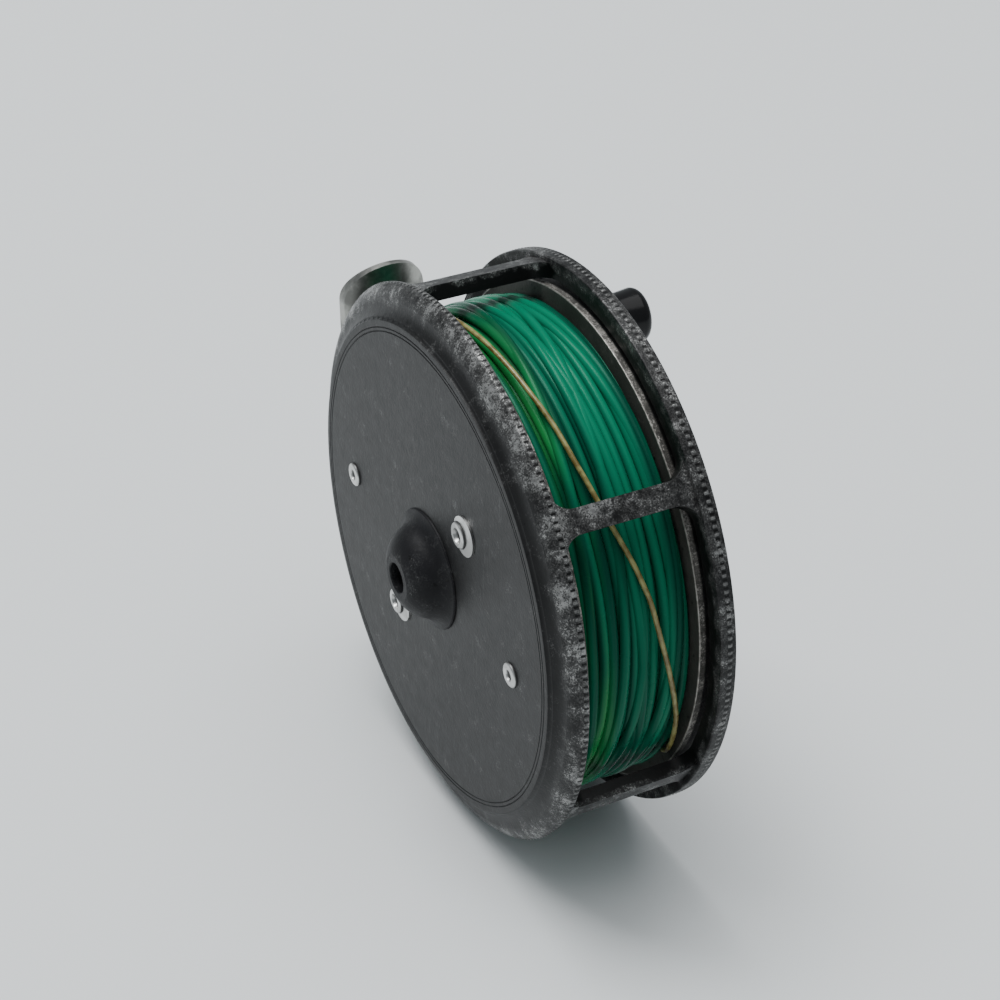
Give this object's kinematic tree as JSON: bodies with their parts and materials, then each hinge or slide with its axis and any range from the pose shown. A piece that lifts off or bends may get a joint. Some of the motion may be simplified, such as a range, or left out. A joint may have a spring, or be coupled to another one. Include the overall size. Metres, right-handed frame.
{
  "type": "fly reel",
  "caption": "Narrow fly reel with a pillared cage, curved foot, ratchet check, wound line, and a spool with a tapered knob that turns on a fixed spindle.",
  "frame": {"origin": "on the axis of the rod that the foot sits on, at the middle of the foot", "axes": "+Z along the rod, +X along the spindle towards the handle, +Y from the spindle towards the rod"},
  "size_m": [0.0442, 0.0861, 0.0816],
  "materials": {
    "frame_paint": "worn satin black enamel on alloy",
    "boss_paint": "black enamel",
    "spool_paint": "worn satin black enamel on alloy",
    "foot_alloy": "bare alloy with worn finish",
    "screw_steel": "plated steel",
    "ground_steel": "ground and oiled",
    "hard_steel": "hardened",
    "spring_steel": "tempered",
    "rivet_metal": "turned and polished",
    "brass": "turned",
    "backing": "braided",
    "line_coat": "smooth coating",
    "leader_nylon": "clear brown monofilament",
    "knob_plastic": "polished"
  },
  "bodies": {
    "cage": {"frame_cage": "frame_paint", "spindle_boss": "boss_paint", "foot": "foot_alloy", "foot_screws": "screw_steel", "spindle": "ground_steel", "boss_screw": "screw_steel", "pawl_posts": "rivet_metal", "post_washers": "rivet_metal", "plate_rivets": "rivet_metal", "spring_blocks": "brass", "pawl_clips": "spring_steel", "check_spring": "spring_steel", "spare_spring": "spring_steel"},
    "check_pawl": {"check_pawl": "hard_steel"},
    "spare_pawl": {"spare_pawl": "hard_steel"},
    "spool": {"spool_rear_flange": "spool_paint", "spool_front_plate": "spool_paint", "spool_arbor": "spool_paint", "spool_hub": "spool_paint", "spool_bushes": "brass", "ratchet_gear": "hard_steel", "gear_rivets": "rivet_metal", "backing_line": "backing", "fly_line": "line_coat", "leader": "leader_nylon", "latch_housing": "rivet_metal", "latch_cover": "rivet_metal", "cover_screws": "screw_steel", "latch_spring": "spring_steel", "handle_pin": "ground_steel", "handle_plate": "rivet_metal"},
    "latch": {"latch_lever": "ground_steel"},
    "knob": {"handle_knob": "knob_plastic", "knob_plug": "knob_plastic"}
  },
  "joints": [
    {"name": "spool_spin", "type": "hinge", "parent": "cage", "child": "spool", "pos_m": [0.001, -0.0497, 0], "axis": [1, 0, 0], "continuous": true},
    {"name": "knob_spin", "type": "hinge", "parent": "spool", "child": "knob", "pos_m": [0.017, -0.03981, 0.0263], "axis": [1, 0, 0], "continuous": true},
    {"name": "latch_slide", "type": "slide", "parent": "spool", "child": "latch", "axis": [0, -0.9361, 0.3518], "range_m": [0, 0.0012], "stiffness_N_per_m": 400, "springref_m": -0.0005, "deforming": ["latch_spring"]},
    {"name": "check_pawl_pivot", "type": "hinge", "parent": "cage", "child": "check_pawl", "pos_m": [-0.0105, -0.0605, 0.01221], "axis": [1, 0, 0], "range_deg": [-1.7, 1.7], "stiffness_Nm_per_rad": 0.01},
    {"name": "spare_pawl_pivot", "type": "hinge", "parent": "cage", "child": "spare_pawl", "pos_m": [-0.0105, -0.0389, -0.01221], "axis": [1, 0, 0], "range_deg": [-20, 20]}
  ]
}
